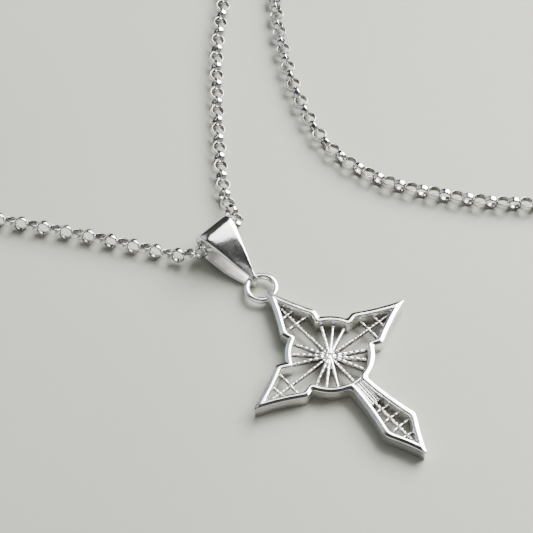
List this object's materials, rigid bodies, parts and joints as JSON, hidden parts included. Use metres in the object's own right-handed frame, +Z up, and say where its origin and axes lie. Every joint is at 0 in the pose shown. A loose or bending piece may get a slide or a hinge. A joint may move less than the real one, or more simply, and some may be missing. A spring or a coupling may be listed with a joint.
{
  "type": "cross pendant on a rolo chain",
  "caption": "Openwork cross pendant with a soldered ring and tapered bail, threaded on a clasped rolo chain laid flat as a closed loop.",
  "frame": {"origin": "middle of the laid necklace's box, on the surface it lies on", "axes": "+Z up from the surface, +Y from the pendant towards the clasp, +X to the right as the necklace is seen from above with the pendant nearest"},
  "size_m": [0.1214, 0.1132, 0.004],
  "materials": {
    "cast_silver": "polished rims over granular bright openwork",
    "sheet_silver": "mirror polished with fine hairlines",
    "chain_silver": "tumble polished",
    "clasp_silver": "polished"
  },
  "bodies": {
    "root": {"cross": "cast_silver", "bail": "sheet_silver", "chain": "chain_silver", "clasp": "clasp_silver"}
  },
  "joints": []
}
